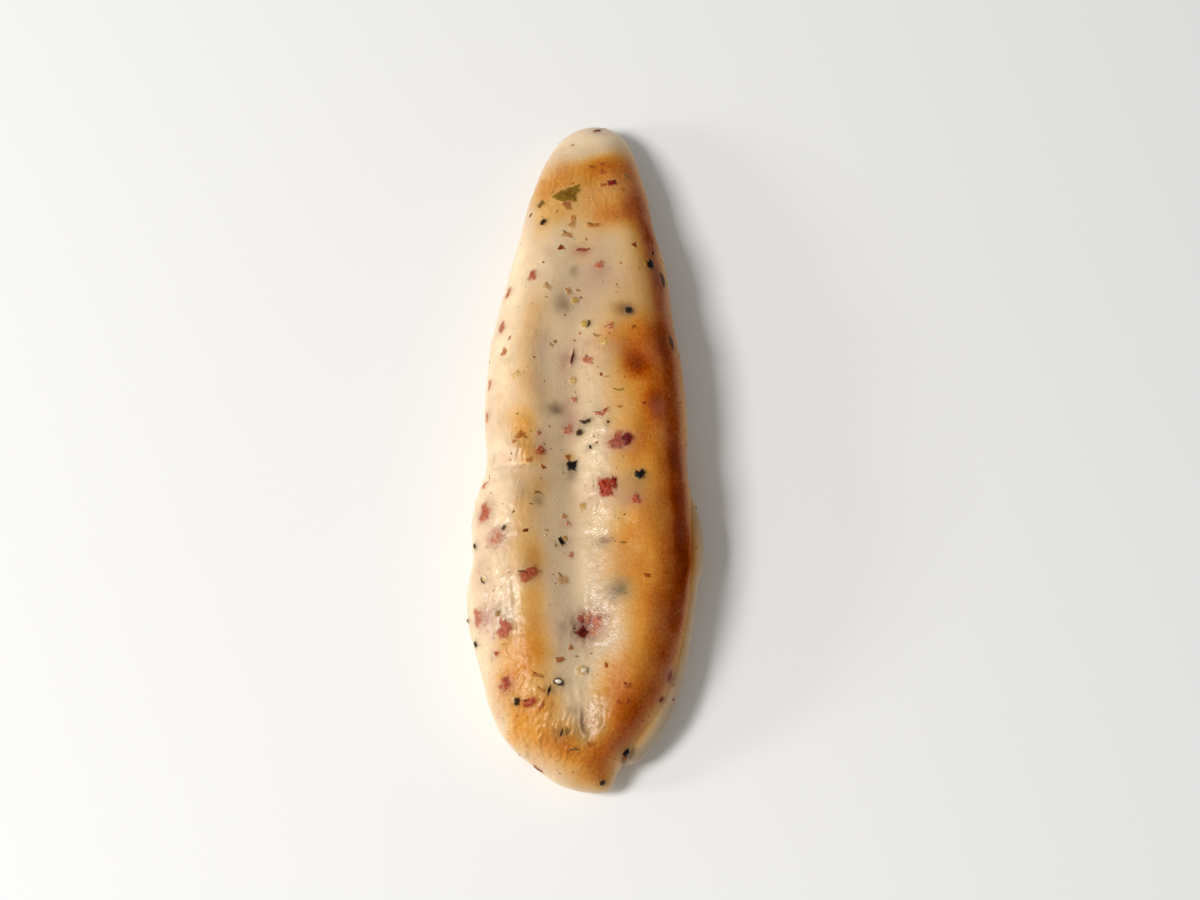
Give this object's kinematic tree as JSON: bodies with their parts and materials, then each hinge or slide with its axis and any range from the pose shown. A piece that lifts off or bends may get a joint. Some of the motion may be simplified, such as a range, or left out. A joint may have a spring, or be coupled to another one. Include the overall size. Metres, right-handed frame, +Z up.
{
  "type": "kamaboko fish cake",
  "caption": "Leaf-shaped grilled kamaboko fish cake with salami, black pepper, mustard seed, chili and herb bits in its browned skin; prepared food that lies flat.",
  "frame": {"origin": "centre of the cake's plan outline, on the plane that its underside rests on", "axes": "+X to the right in the picture, across the cake; +Y along the cake to its narrow tip; +Z up from the underside through the grilled top"},
  "size_m": [0.038, 0.115, 0.0161],
  "materials": {
    "grilled_fish_paste": "moist satin skin of grilled fish paste, browned in patches"
  },
  "bodies": {
    "root": {"fish_cake": "grilled_fish_paste"}
  },
  "joints": []
}
